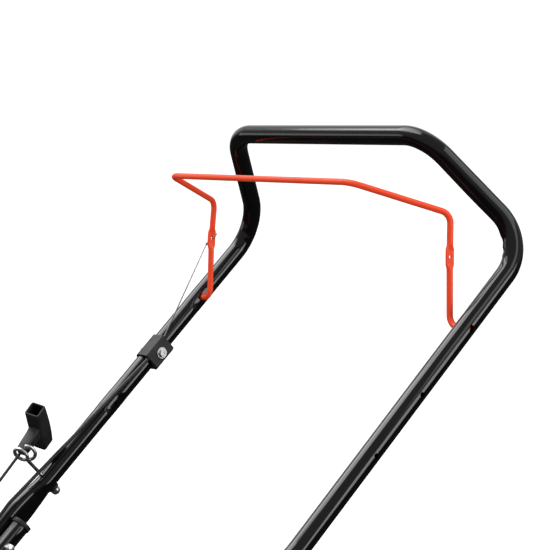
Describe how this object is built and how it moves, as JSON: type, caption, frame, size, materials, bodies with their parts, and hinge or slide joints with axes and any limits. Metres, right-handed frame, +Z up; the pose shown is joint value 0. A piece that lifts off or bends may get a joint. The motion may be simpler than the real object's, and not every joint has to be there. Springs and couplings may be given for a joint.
{
  "type": "petrol reel mower",
  "caption": "Walk-behind petrol reel mower: reel and bedknife between side plates, rear drum, front roller, recoil-start engine, folding tube handle with bail lever.",
  "frame": {"origin": "on the ground under the middle of the mower's bounding box", "axes": "+Z up, the reel faces -Y, the operator stands at +Y and +X is the operator's left hand side (the chain cover side)"},
  "size_m": [0.6474, 1.1771, 1.0651],
  "materials": {
    "orange_paint": "gloss powder coat",
    "black_paint": "gloss black powder coat",
    "zinc_steel": "bright zinc plate",
    "blade_steel": "ground steel",
    "cast_alloy": "sand-cast, lightly dulled",
    "muffler_steel": "heat-dulled pressed steel",
    "black_plastic": "moulded, fine texture",
    "cable_sheath": "smooth extruded sheath",
    "belt_rubber": "matte rubber",
    "rope_cord": "braided cord"
  },
  "bodies": {
    "chassis": {"side_plate_left": "orange_paint", "side_plate_right": "orange_paint", "engine_deck": "black_paint", "front_tie_bar": "black_paint", "bed_bar": "orange_paint", "bedknife": "blade_steel", "grass_deflector": "orange_paint", "lower_handle_left": "black_paint", "lower_handle_right": "black_paint", "handle_end_caps": "black_plastic", "fold_bolts": "zinc_steel", "lock_knobs": "black_plastic", "frame_bolts": "zinc_steel", "reel_bearings": "cast_alloy", "drum_bearings": "cast_alloy", "countershaft_bearing": "cast_alloy", "chain_cover": "black_paint", "reel_chain": "zinc_steel", "drum_chain": "zinc_steel", "drive_belt": "belt_rubber", "crankcase": "cast_alloy", "cylinder": "cast_alloy", "rocker_cover": "black_paint", "spark_plug": "cable_sheath", "fuel_tank": "black_paint", "air_filter": "black_plastic", "carburettor": "cast_alloy", "muffler": "muffler_steel", "muffler_guard": "black_paint", "flywheel_shroud": "black_paint", "recoil_housing": "black_plastic", "starter_rope_lower": "rope_cord", "height_knobs": "black_plastic"},
    "handle": {"upper_handle": "black_paint", "cable_clip": "black_plastic", "clip_bolt": "zinc_steel", "rope_guide": "zinc_steel", "rope_guide_nut": "zinc_steel", "inner_wire": "zinc_steel", "conduit": "cable_sheath"},
    "bail_lever": {"bail": "orange_paint"},
    "pull_grip": {"starter_grip": "black_plastic", "starter_rope": "rope_cord"},
    "rope_spool": {"recoil_pulley": "black_plastic"},
    "crank": {"crankshaft": "zinc_steel", "flywheel": "cast_alloy"},
    "clutch_cup": {"clutch_drum": "zinc_steel"},
    "jackshaft": {"countershaft": "zinc_steel"},
    "reel": {"reel_shaft": "zinc_steel", "reel_spiders": "orange_paint", "reel_blades": "blade_steel"},
    "drum": {"drum_shells": "black_paint", "drum_axle": "zinc_steel"},
    "roller_frame": {"roller_carrier": "black_paint"},
    "roller": {"front_roller": "black_plastic"},
    "tank_cap": {"fuel_cap": "black_plastic"},
    "oil_plug": {"oil_cap": "black_plastic"},
    "choke": {"choke_lever": "zinc_steel"},
    "brake_arm": {"brake_lever": "zinc_steel"}
  },
  "joints": [
    {"name": "handle_fold", "type": "hinge", "parent": "chassis", "child": "handle", "pos_m": [0, 0.15956, 0.50722], "axis": [1, 0, 0], "range_deg": [0, 112], "deforming": ["conduit", "starter_rope_lower"]},
    {"name": "bail_squeeze", "type": "hinge", "parent": "handle", "child": "bail_lever", "pos_m": [0, 0.4918, 0.82217], "axis": [-1, 0, 0], "range_deg": [0, 31], "stiffness_Nm_per_rad": 1.2, "springref_deg": -22.92, "deforming": ["inner_wire"]},
    {"name": "starter_pull", "type": "slide", "parent": "handle", "child": "pull_grip", "axis": [-0.3572, 0.7634, 0.5381], "range_m": [0, 0.45], "stiffness_N_per_m": 12, "springref_m": -0.4, "deforming": ["starter_rope"]},
    {"name": "spool_turn", "type": "hinge", "parent": "chassis", "child": "rope_spool", "pos_m": [-0.118, -0.17, 0.312], "axis": [1, 0, 0], "range_deg": [-650, 0]},
    {"name": "crank_spin", "type": "hinge", "parent": "chassis", "child": "crank", "pos_m": [0, -0.17, 0.312], "axis": [1, 0, 0], "continuous": true},
    {"name": "clutch_spin", "type": "hinge", "parent": "chassis", "child": "clutch_cup", "pos_m": [0.17, -0.17, 0.312], "axis": [1, 0, 0], "continuous": true},
    {"name": "jackshaft_spin", "type": "hinge", "parent": "chassis", "child": "jackshaft", "pos_m": [0.17, -0.33, 0.255], "axis": [1, 0, 0], "continuous": true},
    {"name": "reel_spin", "type": "hinge", "parent": "chassis", "child": "reel", "pos_m": [0, -0.365, 0.092], "axis": [1, 0, 0], "continuous": true},
    {"name": "drum_spin", "type": "hinge", "parent": "chassis", "child": "drum", "pos_m": [0, -0.12, 0.095], "axis": [1, 0, 0], "continuous": true},
    {"name": "height_adjust", "type": "slide", "parent": "chassis", "child": "roller_frame", "axis": [0, 0, 1], "range_m": [0, 0.016]},
    {"name": "roller_spin", "type": "hinge", "parent": "roller_frame", "child": "roller", "pos_m": [0, -0.52, 0.03], "axis": [1, 0, 0], "continuous": true},
    {"name": "fuel_cap_turn", "type": "hinge", "parent": "chassis", "child": "tank_cap", "pos_m": [0.01, -0.15, 0.49], "axis": [0, 0, 1], "range_deg": [0, 90]},
    {"name": "oil_cap_turn", "type": "hinge", "parent": "chassis", "child": "oil_plug", "pos_m": [0.0625, -0.112, 0.262], "axis": [0, 0.866, 0.5], "continuous": true},
    {"name": "choke_turn", "type": "hinge", "parent": "chassis", "child": "choke", "pos_m": [-0.012, -0.32, 0.41], "axis": [0, 0, 1], "range_deg": [0, 60]},
    {"name": "brake_arm_turn", "type": "hinge", "parent": "chassis", "child": "brake_arm", "pos_m": [-0.047, -0.086, 0.404], "axis": [1, 0, 0], "range_deg": [-28, 0]}
  ],
  "couplings": [
    {"joint": "spool_turn", "follows": "starter_pull", "rad_per_m": -25},
    {"joint": "brake_arm_turn", "follows": "bail_squeeze", "ratio": -0.9},
    {"joint": "reel_spin", "follows": "drum_spin", "ratio": 2},
    {"joint": "jackshaft_spin", "follows": "drum_spin", "ratio": 3},
    {"joint": "clutch_spin", "follows": "drum_spin", "ratio": 6.0588}
  ]
}
